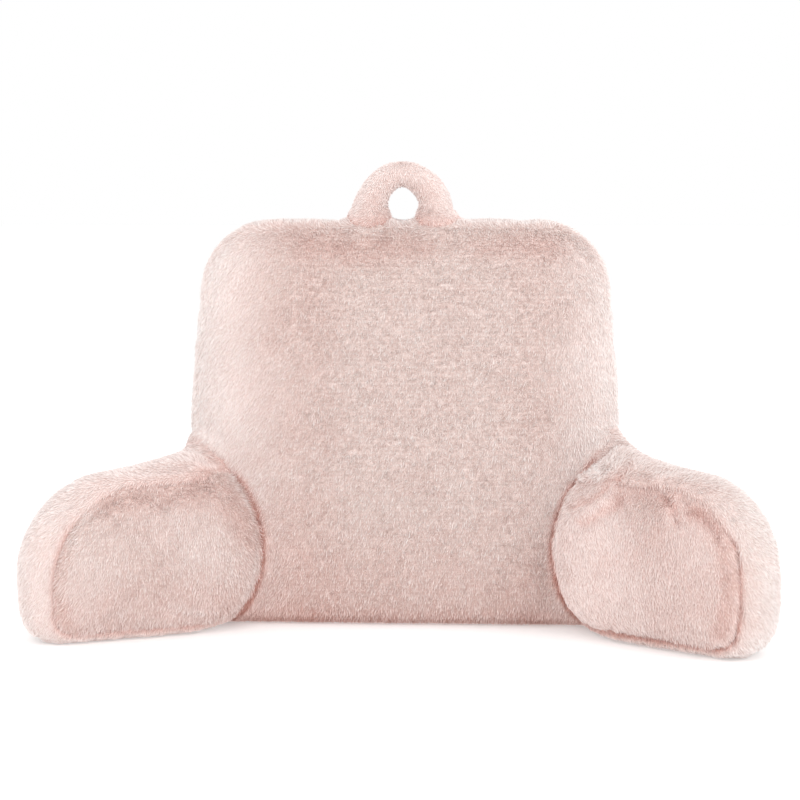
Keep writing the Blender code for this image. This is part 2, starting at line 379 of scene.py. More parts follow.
def with_map(tree, tufts):
    """The tufts with the map that colours them: the tint, and the way from root to tip, which stops
    short where the fibres are shorter and where shade is painted."""
    shown = times(rest_of(named(tree, "short")), named(tree, "along"))
    shown = plus(shown, times(named(tree, "comb"), COMB_BONUS))
    place = joined(X=named(tree, "tint"), Y=calculate("MINIMUM", shown, 0.98))
    return store(tufts, "OFBake", place, "CORNER", "FLOAT2")


def with_soft_shading(tree, tufts):
    """The tufts, shaded in part as the cloth below them."""
    own = add_node(tree, "GeometryNodeInputNormal").outputs["Normal"]
    smooth = rising(SMOOTH_LOOSE, SMOOTH_COMBED, named(tree, "comb"))
    cloth = scaled(named(tree, "skin", "FLOAT_VECTOR"), smooth)
    soft = vector_of("ADD", cloth, scaled(own, rest_of(smooth)))
    inputs = {"Mesh": tufts, "Custom Normal": vector_of("NORMALIZE", soft)}
    return work("GeometryNodeSetMeshNormal", inputs, mode="FREE", domain="POINT").outputs[0]


def pile_group():
    """Geometry nodes that cover a cloth with tufts and comb them along its nap."""
    numbers = ("Spacing", "Width", "Length", "Combed Lean", "Upright Lean", "Swirl", "Unrest")
    sockets = {"Cloth": "Geometry", **dict.fromkeys(numbers, "Float"), "Seed": "Int"}
    tree, given = new_group("plush pile", "GeometryNodeTree", sockets, "Pile", "Geometry")
    points, skin = pile_points(tree, given)
    loose = rest_of(named(tree, "comb"))
    stretched = vector_of("MULTIPLY", position(tree), CLUMP_STRETCH)
    clump = noise_of(tree, CLUMP_SCALE, 0.0, stretched)
    valleys = smooth_range(noise_of(tree, VALLEY_SCALE, 0.0, stretched)["Fac"], *VALLEY_RANGE)
    valleys = times(loose, valleys)
    wide = times(given["Width"], random_value(tree, 0.75, 1.25, 14))
    tall = times(given["Length"], random_value(tree, 0.80, 1.12, 15))
    tall = times(tall, rest_of(times(valleys, VALLEY_DROP)))
    tufts = work(
        "GeometryNodeInstanceOnPoints",
        {
            "Points": points,
            "Instance": one_tuft(tree),
            "Rotation": turned_to(tree, tuft_direction(tree, given, skin, clump, loose)),
            "Scale": joined(X=wide, Y=wide, Z=tall),
        },
    ).outputs[0]
    tint, short = tuft_look(tree, valleys, loose)
    tufts = store(tufts, "tint", tint, "INSTANCE")
    tufts = store(tufts, "short", short, "INSTANCE")
    tufts = store(tufts, "skin", skin, "INSTANCE", "FLOAT_VECTOR")
    tufts = work("GeometryNodeRealizeInstances", {"Geometry": tufts}).outputs[0]
    tufts = with_soft_shading(tree, with_map(tree, above_floor(tree, tufts)))
    work("NodeGroupOutput", {"Pile": tufts})
    return tree


def plush_colour_group():
    """The colour of the plush by tint, from deep to pale, and by rise, from the darker root, in part
    painted shade, to the tip.
    """
    colours = bpy.context.scene.reading_pillow.plush
    sockets = {"Tint": "Float", "Rise": "Float"}
    tree, given = new_group("plush colour", "ShaderNodeTree", sockets, "Color", "Color")
    root = mix_colours(given["Tint"], (*colours.root_deep, 1.0), (*colours.root_pale, 1.0))
    tip = mix_colours(given["Tint"], (*colours.tip_deep, 1.0), (*colours.tip_pale, 1.0))
    work("NodeGroupOutput", {"Color": mix_colours(given["Rise"], root, tip)})
    return tree


def plush_colour(tint, rise):
    group = bpy.data.node_groups.get("plush colour") or plush_colour_group()
    return work("ShaderNodeGroup", {"Tint": tint, "Rise": rise}, node_tree=group).outputs["Color"]


PLUSH_SURFACE = {
    "Roughness": 0.9,
    "Specular IOR Level": 0.12,
    "Sheen Weight": 0.06,
    "Sheen Roughness": 0.5,
    "Sheen Tint": (1.0, 0.93, 0.91, 1.0),
}
TIP_REACHED = 0.72  # how far along its map a tuft has its tip's colour


def new_material(name, surface):
    material = bpy.data.materials.new(name)
    material.use_nodes = True
    shader = material.node_tree.nodes["Principled BSDF"]
    for label, value in surface.items():
        shader.inputs[label].default_value = value
    return material, material.node_tree, shader


def plush_material():
    """Tufts that are deep at the root, in part as painted shade between them, and pale at the tip,
    by the map that they carry.
    """
    if "plush pile" in bpy.data.materials:
        return bpy.data.materials["plush pile"]
    material, tree, shader = new_material("plush pile", PLUSH_SURFACE)
    on_tuft = axes_of(add_node(tree, "ShaderNodeUVMap", uv_map="OFBake").outputs[0])
    rise = smooth_range(on_tuft["Y"], 0.0, TIP_REACHED)
    tree.links.new(plush_colour(on_tuft["X"], rise), shader.inputs["Base Color"])
    return material


def cloth_value(tree, name):
    node = add_node(tree, "ShaderNodeAttribute", attribute_name=name, attribute_type="GEOMETRY")
    return node.outputs["Fac"]


def backing_material():
    """The knitted backing under the pile: fine grain in rows, in the cloth's tone, with painted
    shade where the pile stands up.
    """
    if "plush backing" in bpy.data.materials:
        return bpy.data.materials["plush backing"]
    material, tree, shader = new_material("plush backing", PLUSH_SURFACE)
    where = add_node(tree, "ShaderNodeTexCoord").outputs["Object"]
    grain = noise_of(tree, 650.0, 2.0, where)["Fac"]
    waves = {"Vector": where, "Scale": 70.0, "Distortion": 2.5, "Detail": 1.0}
    rows = work("ShaderNodeTexWave", waves, bands_direction="Z").outputs["Fac"]
    rise = times(smooth_range(grain, 0.35, 0.65), times(rows, 0.50))
    # Painted shade: the backing keeps more of the dark root colour where the pile stands up, and
    # less where it is combed.
    rise = plus(rise, times(cloth_value(tree, "comb"), 0.45))
    colour = plush_colour(cloth_value(tree, "tone"), rise)
    tree.links.new(colour, shader.inputs["Base Color"])
    bump = work("ShaderNodeBump", {"Height": grain, "Strength": 0.6, "Distance": 0.0012})
    tree.links.new(bump.outputs[0], shader.inputs["Normal"])
    return material


# What the nodes read and store on the way, and the finished pile doesn't keep.
HELPERS = ("tint", "short", "along", "skin", "pile", "loose", "tone", "nap", "comb")


def grow_pile(name, cloth, faces, seed, length=1.0, spacing=1.0, swirl=0.9, unrest=0.45):
    """Covers those faces of a cloth with tufts, as one mesh of its own."""
    plush = bpy.context.scene.reading_pillow.plush
    patch = cloth.data.copy()
    bm = bmesh.new()
    bm.from_mesh(patch)
    bm.faces.ensure_lookup_table()
    unwanted = [bm.faces[index] for index in np.nonzero(~faces)[0]]
    bmesh.ops.delete(bm, geom=unwanted, context="FACES")
    bm.to_mesh(patch)
    bm.free()
    pile = new_object(name, patch)
    nodes = pile.modifiers.new("plush", "NODES")
    nodes.node_group = bpy.data.node_groups.get("plush pile") or pile_group()
    values = {
        "Spacing": plush.spacing * spacing,
        "Width": plush.tuft_width,
        "Length": plush.tuft_length * length,
        "Combed Lean": plush.lean_combed,
        "Upright Lean": plush.lean_upright,
        "Swirl": swirl,
        "Unrest": unrest,
        "Seed": seed,
    }
    for item in nodes.node_group.interface.items_tree:
        if item.in_out == "INPUT" and item.name in values:
            nodes[item.identifier] = values[item.name]
    freeze(pile)
    for helper in HELPERS:
        if helper in pile.data.attributes:
            pile.data.attributes.remove(pile.data.attributes[helper])
    pile.data.materials.clear()
    pile.data.materials.append(plush_material())
    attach(pile, BODY)


# ---------------- cushions


def new_object(name, data):
    obj = bpy.data.objects.new(name, data)
    bpy.context.scene.collection.objects.link(obj)
    return obj


def freeze(obj):
    """Gives an object the mesh that its modifiers make, and takes the modifiers off."""
    graph = bpy.context.evaluated_depsgraph_get()
    mesh = bpy.data.meshes.new_from_object(obj.evaluated_get(graph))
    old = obj.data
    obj.modifiers.clear()
    obj.data = mesh
    mesh.name = obj.name
    bpy.data.meshes.remove(old)


def solid_copy(node):
    """A bmesh of a solid, with its loose triangles joined."""
    bm = bmesh.new()
    bm.from_mesh(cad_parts[node].data)
    bmesh.ops.remove_doubles(bm, verts=bm.verts, dist=1e-5)
    return bm


def surroundings(node):
    """What a cushion touches: every other solid, to look up distances in."""
    trees = {}
    for other in NODES:
        if other != node:
            bm = solid_copy(other)
            trees[other] = BVHTree.FromBMesh(bm)
            bm.free()
    return trees


def start_cushion(name, node, voxel):
    """A copy of the solid in even quads."""
    bm = solid_copy(node)
    mesh = bpy.data.meshes.new(name)
    bm.to_mesh(mesh)
    bm.free()
    cushion = new_object(name, mesh)
    remesh = cushion.modifiers.new("even quads", "REMESH")
    remesh.mode = "VOXEL"
    remesh.voxel_size = voxel
    freeze(cushion)
    return cushion


CONTACT_REACH = 0.0025  # faces this near another solid, and facing it so, are sewn to it
CONTACT_FACING = -0.6
FOOT_REACH = 0.004  # faces this near the floor, and facing it so, are the foot
FOOT_FACING = -0.7
FOOT_LIFT = 0.0012
SEWN_TO_BACK = 0.0060  # how far a root runs on into the back, so that the cloths meet
SEWN_TO_ARM = 0.0012
PILE_RINGS = 2  # rows of quads that the pile runs on into a seam
HIDDEN_PASSES = 6
SEAM_START = 0.002
SEAM_REACH = 0.013  # how near a seam the cloth is drawn in less, so that both sides close over it
SEAM_SHARE = -0.2  # the share of the pile's depth that it is drawn in at the seam
GATHER = 0.0010  # how unevenly the thread gathers it
GATHER_SCALE = 95.0
SHOULDER_FILL = 0.006  # how far the cloth stands over the join at a shoulder
TOP_FILL = 0.004  # and over the seam along the top of an arm panel
TOP_HEIGHT = (0.120, 0.150)  # where a panel's edge turns into its top
TOP_OUTWARDS = (0.190, 0.215)


def face_kinds(bm, trees):
    """What each face is: open, the foot, or the name of the solid that it is sewn to."""
    kinds = {}
    for face in bm.faces:
        centre = face.calc_center_median()
        kinds[face] = "open"
        if centre.z < FOOT_REACH and face.normal.z < FOOT_FACING:
            kinds[face] = "foot"
            continue
        for other, tree in trees.items():
            _, normal, _, distance = tree.find_nearest(centre, CONTACT_REACH)
            if distance is not None and normal.dot(face.normal) < CONTACT_FACING:
                kinds[face] = other
    return kinds


def run_on(node, kind, depth):
    """How far a face of that kind moves outwards."""
    if kind == "open":
        return -depth
    if kind == "foot":
        return -FOOT_LIFT
    if node == "back_cushion":
        return 0.0
    return SEWN_TO_BACK if kind == "back_cushion" else SEWN_TO_ARM


def pile_room(vert, trees, depth):
    """How far the cloth is drawn in at a vertex: less by a seam, where the thread gathers it."""
    found = [tree.find_nearest(vert.co, SEAM_REACH)[3] for tree in trees.values()]
    near = min((distance for distance in found if distance is not None), default=SEAM_REACH)
    open_share = float(ramp(near, SEAM_START, SEAM_REACH))
    filled = 0.0
    if near < SEAM_REACH:
        depth -= SHOULDER_FILL * float(draped(vert.co.x, vert.co.z)) * (1.0 - open_share)
        top = ramp(vert.co.z, *TOP_HEIGHT) * ramp(abs(vert.co.x), *TOP_OUTWARDS)
        filled = TOP_FILL * float(top) * (1.0 - open_share)
    gathered = GATHER * noise.noise(vert.co * GATHER_SCALE) * (1.0 - open_share)
    share = SEAM_SHARE + (1.0 - SEAM_SHARE) * open_share if depth > 0 else 1.0
    return depth * share + gathered - filled


def draw_in(cushion, node, share=1.0):
    """Moves the cloth in by the depth of the pile. Sewn sides run on into what they are sewn to. The
    layer "pile" says where pile stands, and "loose" what the filling moves."""
    bm = bmesh.new()
    bm.from_mesh(cushion.data)
    bm.normal_update()
    trees = surroundings(node)
    kinds = face_kinds(bm, trees)
    depth = bpy.context.scene.reading_pillow.plush.pile_depth * share
    pile = bm.verts.layers.float.new("pile")
    loose = bm.verts.layers.float.new("loose")
    moves = []
    hidden = []
    for vert in bm.verts:
        sums = {}
        for face in vert.link_faces:
            sums[kinds[face]] = sums.get(kinds[face], Vector()) + face.normal * face.calc_area()
        room = pile_room(vert, trees, depth)
        shares = (facing.normalized() * run_on(node, kind, room) for kind, facing in sums.items())
        moves.append(sum(shares, Vector()))
        seen = [kinds[face] == "open" for face in vert.link_faces]
        vert[loose] = sum(seen) / len(seen)
        vert[pile] = 1.0 if any(seen) else 0.0
        if not any(seen) and "foot" not in sums:
            hidden.append(vert)
    for vert, move in zip(bm.verts, moves):
        vert.co += move
    for _ in range(PILE_RINGS):
        edge = [
            vert for vert in bm.verts
            if not vert[pile] and any(line.other_vert(vert)[pile] for line in vert.link_edges)
        ]
        for vert in edge:
            vert[pile] = 1.0
    axes = dict.fromkeys(("use_axis_x", "use_axis_y", "use_axis_z"), True)
    for _ in range(HIDDEN_PASSES):
        bmesh.ops.smooth_vert(bm, verts=hidden, factor=0.5, **axes)
    bm.to_mesh(cushion.data)
    bm.free()


def read(items, name, width=1, kind=np.float32):
    """What a mesh's items hold under that name, as an array."""
    values = np.empty(len(items) * width, kind)
    items.foreach_get(name, values)
    return values if width == 1 else values.reshape(-1, width)


def surface(obj):
    return read(obj.data.vertices, "co", 3), read(obj.data.vertex_normals, "vector", 3)


def layer(obj, name):
    return read(obj.data.attributes[name].data, "value")


def move_points(obj, points):
    obj.data.vertices.foreach_set("co", np.ascontiguousarray(points, np.float32).ravel())
    obj.data.update()


CLOTH = {
    "quality": 5,
    "mass": 0.3,
    "tension_stiffness": 12,
    "compression_stiffness": 12,
    "shear_stiffness": 5,
    "bending_stiffness": 0.4,
    "use_pressure": True,
}
HELD_STEPS = 10  # the seams are held with this many strengths


def billow(cushion, seams=0.0, most=None):
    """Fills a cushion: its cloth is cut large, held at the seams and hidden sides, and blown up."""
    settings = bpy.context.scene.reading_pillow.cushion
    most = most or settings.most_swell
    start, _ = surface(cushion)
    held = np.clip(np.maximum(seams, 1.0 - layer(cushion, "loose")), 0, 1)
    group = cushion.vertex_groups.new(name="held")
    steps = np.round(held * HELD_STEPS).astype(int)
    for step in range(1, HELD_STEPS + 1):
        chosen = [int(index) for index in np.nonzero(steps == step)[0]]
        group.add(chosen, step / HELD_STEPS, "REPLACE")
    cloth = cushion.modifiers.new("filling", "CLOTH")
    for name, value in CLOTH.items():
        setattr(cloth.settings, name, value)
    cloth.settings.uniform_pressure_force = settings.pressure
    cloth.settings.vertex_group_mass = group.name
    cloth.settings.shrink_min = -settings.slack
    cloth.settings.effector_weights.gravity = 0.0
    cloth.collision_settings.use_collision = False
    cloth.point_cache.frame_start = 1
    cloth.point_cache.frame_end = settings.frames
    scene = bpy.context.scene
    for step in range(1, settings.frames + 1):
        scene.frame_set(step)
    graph = bpy.context.evaluated_depsgraph_get()
    filled = read(cushion.evaluated_get(graph).to_mesh().vertices, "co", 3)
    cushion.evaluated_get(graph).to_mesh_clear()
    cushion.modifiers.clear()
    cushion.vertex_groups.clear()
    scene.frame_set(1)
    shift = filled - start
    size = np.linalg.norm(shift, axis=1, keepdims=True)
    shift *= most * np.tanh(size / most) / np.maximum(size, 1e-9)
    end = start + shift
    end[:, 2] = np.maximum(end[:, 2], FOOT_LIFT)
    move_points(cushion, end)


def noise_at(points, scale, seed):
    offset = Vector((seed * 7.3, seed * 3.1, seed * 5.7))
    values = [noise.noise(Vector(point) * scale + offset) for point in points.tolist()]
    return np.array(values, np.float32)


def sink_seams(cushion, seams):
    """Presses sewn edges in, unevenly, as a thread gathers cloth."""
    depth = bpy.context.scene.reading_pillow.cushion.seam_depth
    points, normals = surface(cushion)
    gather = 1.0 + 0.25 * noise_at(points, 45.0, 3)
    move_points(cushion, points - normals * (depth * seams * gather)[:, None])


FAR = 9.0


def distance_to_route(points, route):
    """Distance of every point, seen from the front, to a line through the route's (x, z) points."""
    flat = points[:, (0, 2)]
    best = np.full(len(points), FAR, np.float32)
    for start, end in zip(route, route[1:]):
        start, end = np.array(start), np.array(end)
        along = end - start
        share = np.clip((flat - start) @ along / (along @ along), 0, 1)
        best = np.minimum(best, np.linalg.norm(flat - start - share[:, None] * along, axis=1))
    return best


Fold = namedtuple("Fold", "depth width route")
FOLD_FACING = 0.3  # folds are pressed into what faces less rearwards than this
FINE_REACH = 3.0  # how many widths round a fold the quads are finer
ROLL = 0.18  # how high the cloth rolls up beside a fold, to its depth


def refine_near(cushion, folds):
    """Finer quads around the folds, so that they stay crisp."""
    points, normals = surface(cushion)
    close = np.zeros(len(points), bool)
    for fold in folds:
        close |= distance_to_route(points, fold.route) < FINE_REACH * fold.width
    close &= normals[:, 1] < FOLD_FACING
    bm = bmesh.new()
    bm.from_mesh(cushion.data)
    bm.edges.ensure_lookup_table()
    edges = [edge for edge in bm.edges if all(close[vert.index] for vert in edge.verts)]
    bmesh.ops.subdivide_edges(bm, edges=edges, cuts=1, smooth=1.0, use_grid_fill=True)
    for face in bm.faces:
        face.smooth = True
    bm.to_mesh(cushion.data)
    bm.free()


def press_folds(cushion, folds):
    """Presses each fold in along its route, with a soft roll beside it. Returns where they lie."""
    refine_near(cushion, folds)
    points, normals = surface(cushion)
    shape = np.zeros(len(points))
    for fold in folds:
        near = distance_to_route(points, fold.route) / fold.width
        shape += fold.depth * (np.exp(-near ** 2) - ROLL * np.exp(-((near - 2.0) / 0.9) ** 2))
    shape *= (normals[:, 1] < FOLD_FACING) * layer(cushion, "loose")
    move_points(cushion, points - normals * shape[:, None])
    return shape


def dent(cushion, amount, scale, seed, share=1.0):
    """Soft unevenness of the filling. A share below 1 says how much of it each point takes."""
    points, normals = surface(cushion)
    amount = amount * share
    swell = noise_at(points, scale, seed) + 0.4 * noise_at(points, scale * 2.6, seed + 1)
    move_points(cushion, points + normals * (amount * swell * layer(cushion, "loose"))[:, None])


def subdivide_once(cushion):
    smooth = cushion.modifiers.new("smooth", "SUBSURF")
    smooth.levels = 1
    smooth.render_levels = 1
    freeze(cushion)
    cushion.data.shade_smooth()


DRAPE_RIGHT = (0.188, 0.204)  # the heights over which the crease at a shoulder ends
DRAPE_LEFT = (0.168, 0.192)
DRAPE_LEFT_SHARE = 0.85


def draped(x, z):
    """1 over the shoulders, where cloth runs from the back on to an arm without a crease."""
    return np.where(x > 0, ramp(z, *DRAPE_RIGHT), DRAPE_LEFT_SHARE * ramp(z, *DRAPE_LEFT))


CREASE_REACH = 0.0038
CREASE_SEARCH = 2.5 * CREASE_REACH
# Painted shade: the pile is painted darker in a crease between two cushions.
PAINTED_CREASE_SHADE = 0.72  # how much darker the pile is in a crease between two cushions
RIM_CREASE = {"left": 0.55, "right": 0.85}  # the share of it round each arm panel
TOP_CREASE = 0.30  # and the share of that along the top
LOOP_CREASE = 0.45
DRAPED_CREASE = 0.8  # how much of it is lost over a shoulder


def crease_share(node, other, points):
    """How much of the painted crease shade between two cushions shows at each point."""
    if "carry_handle" in (node, other):
        return np.full(len(points), LOOP_CREASE)
    if "back_cushion" in (node, other):
        return 1.0 - DRAPED_CREASE * draped(points[:, 0], points[:, 2])
    rim = np.where(points[:, 0] > 0, RIM_CREASE["right"], RIM_CREASE["left"])
    return rim * (1.0 - (1.0 - TOP_CREASE) * ramp(points[:, 2], *TOP_HEIGHT))


def creases(cushion, node):
    """The painted crease shade: 1 where a cushion meets another one, falling off with the distance.
    """
    points, _ = surface(cushion)
    total = np.zeros(len(points))
    for other, tree in surroundings(node).items():
        found = [tree.find_nearest(vert.co, CREASE_SEARCH)[3] for vert in cushion.data.vertices]
        near = np.array([FAR if distance is None else distance for distance in found])
        crease = gauss(near, 0.0, CREASE_REACH) * crease_share(node, other, points)
        total = np.maximum(total, crease)
    return total


def mark(cushion, node, nap, comb, tone):
    """Writes what the pile reads: its direction, how far it is combed, and its tone, with painted
    shade in the creases.
    """
    tone = tone - PAINTED_CREASE_SHADE * creases(cushion, node)
    for name, kind, field, values in (
        ("nap", "FLOAT_VECTOR", "vector", nap),
        ("comb", "FLOAT", "value", comb),
        ("tone", "FLOAT", "value", tone),
    ):
        attribute = cushion.data.attributes.new(name, kind, "POINT")
        attribute.data.foreach_set(field, values.astype(np.float32).ravel())


def face_values(obj, values):
    """A value per face: the mean over its corners."""
    corners = read(obj.data.loops, "vertex_index", kind=np.int32)
    starts = read(obj.data.polygons, "loop_start", kind=np.int32)
    sizes = read(obj.data.polygons, "loop_total", kind=np.int32)
    return np.add.reduceat(values[corners], starts) / sizes


def with_pile(cushion):
    """Which faces carry pile."""
    return face_values(cushion, layer(cushion, "pile")) > 0.3


def dress(cushion, node, look, name, seed, fill, **pile):
    """Covers a whole cushion in one pile, from its look: the nap, the comb and the tone."""
    mark(cushion, node, *look)
    grow_pile(name, cushion, with_pile(cushion), seed, **pile)
    finish_cushion(cushion, node)


def finish_cushion(cushion, node):
    cushion.data.materials.clear()
    cushion.data.materials.append(backing_material())
    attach(cushion, BODY)
    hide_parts(node)


def gauss(values, middle, width):
    return np.exp(-((values - middle) / width) ** 2)


def ramp(values, low, high):
    """0 below low and 1 above high, smooth between."""
    share = np.clip((values - low) / (high - low), 0, 1)
    return share * share * (3 - 2 * share)


# ---------------- the back


BACK_VOXEL = 0.0095
SEAM_FACING = 0.62  # a boxed edge is sewn where it has turned this far towards the broad face
SEAM_SPREAD = 0.17
ORDINARY = 0.84  # the tone of the pile where nothing parts or smooths it
COARSE = 38.0  # the two scales of the ragged edge of a parting
FINE = 110.0

FRONT_FACING = -0.35
BROAD_FACING = 0.45
BACK_HALF_WIDTH = 0.25
BACK_MIDDLE = 0.235  # the height at which its pile is cut in two
RIM_HEIGHT = (0.434, 0.456)  # where the pile is brushed back over the top
RIM_COMB = 0.95
REAR_COMB = 0.97
SPARSE = {"front": 1.0, "rear": 1.2, "strip": 1.06}  # how far apart its tufts stand
CALM = {"front": 1.0, "rear": 1.0, "strip": 0.45}  # how freely they turn

# Where the back's pile is parted and shows its roots: middle and half size, and how much.
Parting = namedtuple("Parting", "x z half_x half_z amount")
BACK_PARTINGS = (
    Parting(-0.035, 0.420, 0.085, 0.016, 0.20),
    Parting(-0.045, 0.410, 0.030, 0.015, 0.20),
    Parting(0.125, 0.419, 0.060, 0.014, 0.16),
)


def edge_seams(normals):
    """1 on the two sewn edges between the broad faces and the strip, where the form turns over."""
    turned = normals @ np.array((0, 1, 0))
    ahead, behind = (gauss(turned, edge, SEAM_SPREAD) for edge in (-SEAM_FACING, SEAM_FACING))
    return np.maximum(ahead, behind)


def parted(points):
    """How far the pile is parted at each point, with ragged edges."""
    ragged = 0.28 * noise_at(points, COARSE, 8) + 0.22 * noise_at(points, FINE, 9)
    total = np.zeros(len(points))
    for spot in BACK_PARTINGS:
        across = np.abs((points[:, 0] - spot.x) / spot.half_x)
        up = np.abs((points[:, 2] - spot.z) / spot.half_z)
        share = ramp(1.5 + ragged - np.hypot(across ** 2, up), 0.0, 1.4)
        total = np.maximum(total, spot.amount * share)
    return total


def back_look(points, normals):
    """The back's nap, comb and tone: combed at the sides and over the top, with painted light on the
    outer sides and painted shade by the foot.
    """
    front = normals[:, 1] < FRONT_FACING
    broad = np.abs(normals[:, 1]) > BROAD_FACING
    x, y, z = points.T
    side = x / BACK_HALF_WIDTH
    nap = np.where(
        broad[:, None],
        np.stack((np.full(len(side), -0.35), np.zeros(len(side)), np.full(len(side), -1.0)), axis=1),
        np.array((0.0, 0.6, -1.0)),
    )
    rim = ramp(z, *RIM_HEIGHT)
    nap[:, 2] += 1.2 * rim * broad
    nap[:, 1] += 1.6 * rim * broad
    outer = np.where(side > 0, side - 0.18, -side)
    comb = np.clip(ramp(outer, 0.30, 0.85) + 0.20 * noise_at(points, 12.0, 4), 0, 1)
    comb = np.where(front, comb, REAR_COMB)
    # Painted light: the outer sides are paler. Painted shade: the front is darker low down, near the
    # floor.
    tone = ORDINARY - 0.09 + 0.16 * ramp(outer, 0.60, 1.05) - 0.18 * gauss(z, 0.03, 0.07) * front
    tone += 0.14 * (1.0 - ramp(np.abs(side - 0.10), 0.25, 0.60)) * front
    tone += 0.12 * ~front - 0.06 * rim * front
    # Painted light on the right side and the far left edge.
    tone += (0.10 * ramp(side, 0.35, 0.80) + 0.06 * ramp(-side, 0.80, 1.10)) * front
    parting = parted(points) * (y < 0.0)
    tone -= parting
    comb = np.maximum(comb * (1.0 - ramp(parting, 0.08, 0.36)), RIM_COMB * rim)
    # Painted shade along the floor at the foot of the front.
    tone -= 0.38 * gauss(z, 0.0, 0.018) * front
    return nap, comb, tone


def make_back():
    back = start_cushion("back_cloth", "back_cushion", BACK_VOXEL)
    draw_in(back, "back_cushion")
    _, normals = surface(back)
    seams = edge_seams(normals)
    billow(back, seams)
    sink_seams(back, seams)
    dent(back, 0.0022, 11.0, 1, 0.05 + 0.95 * ramp(np.abs(normals[:, 1]), 0.6, 0.95))
    subdivide_once(back)

    points, normals = surface(back)
    mark(back, "back_cushion", *back_look(points, normals))
    pile = with_pile(back)
    facing = face_values(back, normals[:, 1])
    upper = face_values(back, points[:, 2]) > BACK_MIDDLE
    right = face_values(back, points[:, 0]) > 0
    seed = 0
    for place, faces, halves in (
        ("front", facing < -BROAD_FACING, {"upper": upper, "lower": ~upper}),
        ("rear", facing > BROAD_FACING, {"upper": upper, "lower": ~upper}),
        ("strip", np.abs(facing) <= BROAD_FACING, {"left": ~right, "right": right}),
    ):
        ways = {"spacing": SPARSE[place], "swirl": 0.6 * CALM[place], "unrest": 0.30 * CALM[place]}
        for word, half in halves.items():
            seed += 1
            grow_pile(f"back_pile_{place}_{word}", back, pile & faces & half, seed, **ways)
    finish_cushion(back, "back_cushion")


# ---------------- the arms


ARM_VOXEL = 0.0076
PANEL_VOXEL = 0.0066

# Folds where each arm meets the back, as (x, z) points from the front. A negative depth is a ridge.
ARM_FOLDS = {
    "left": (),
    "right": (
        Fold(0.0018, 0.0028, ((0.205, 0.176), (0.210, 0.183), (0.220, 0.191), (0.231, 0.199))),
        Fold(-0.0022, 0.0026, ((0.210, 0.180), (0.216, 0.176), (0.222, 0.172))),
        Fold(0.0028, 0.0030, (
            (0.222, 0.172), (0.230, 0.175), (0.236, 0.180), (0.240, 0.185), (0.248, 0.191),
        )),
    ),
}
PANEL_COMB = {"left": 0.40, "right": 0.65}
PANEL_TONE = {"left": -0.05, "right": -0.19}
PANEL_FOLDS = {
    "left": (
        Fold(-0.0010, 0.0026, ((-0.270, 0.062), (-0.262, 0.045), (-0.250, 0.036))),
        Fold(-0.0012, 0.0026, ((-0.244, 0.042), (-0.226, 0.032), (-0.208, 0.028))),
    ),
    "right": (
        Fold(0.0028, 0.0030, (
            (0.224, 0.171), (0.214, 0.161), (0.208, 0.156), (0.198, 0.151), (0.188, 0.144),
        )),
        Fold(0.0022, 0.0055, (
            (0.236, 0.159), (0.229, 0.152), (0.221, 0.147), (0.212, 0.140), (0.198, 0.131),
        )),
        Fold(0.0022, 0.0045, ((0.282, 0.170), (0.288, 0.158), (0.291, 0.150), (0.293, 0.142))),
    ),
}
# Where the pile of each arm panel is parted: how much, how wide, and the line as (x, z) points.
PanelParting = namedtuple("PanelParting", "amount width route")
PANEL_PARTINGS = {
    "left": (
        PanelParting(0.14, 0.0170, (
            (-0.309, 0.155), (-0.263, 0.160), (-0.224, 0.160),
            (-0.190, 0.151), (-0.171, 0.132), (-0.160, 0.108),
        )),
        PanelParting(0.12, 0.0080, (
            (-0.350, 0.100), (-0.354, 0.070), (-0.352, 0.040), (-0.340, 0.020),
        )),
    ),
    "right": (
        PanelParting(0.11, 0.0110, ((0.236, 0.165), (0.262, 0.170), (0.289, 0.165), (0.315, 0.153))),
        PanelParting(0.14, 0.0090, (
            (0.315, 0.153), (0.332, 0.138), (0.340, 0.115),
            (0.343, 0.090), (0.343, 0.060), (0.338, 0.035),
        )),
    ),
}
ARM_COMB = {"left": 0.90, "right": 0.62}
ARM_TONE = {"left": -0.07, "right": -0.01}
SHADED_JOIN = {"left": 0.28, "right": 0.0}  # how much darker an arm's top is by the back
ARM_FOLD_SHADE = 100.0  # how much darker the pile is to a metre of a fold's depth
PANEL_FOLD_SHADE = 80.0
REAR_SEAM_DEPTH = 0.08  # the seam round the outer face lies deeper than this
REAR_FACING = 0.55


def arm_axes(place):
    """Directions along an arm, outwards, and through its thickness, rearwards."""
    turn = math.radians(place.splay_deg)
    along = np.array((place.side * math.cos(turn), -math.sin(turn), 0.0))
    through = np.array((place.side * math.sin(turn), math.cos(turn), 0.0))
    return along, through


def arm_frame(place, points):
    """How far along the arm and how deep into its thickness each point lies."""
    root = np.array((place.side * place.root_x, ARM_ROOT_Y, 0.0))
    along, through = arm_axes(place)
    return (points - root) @ along, (points - root) @ through


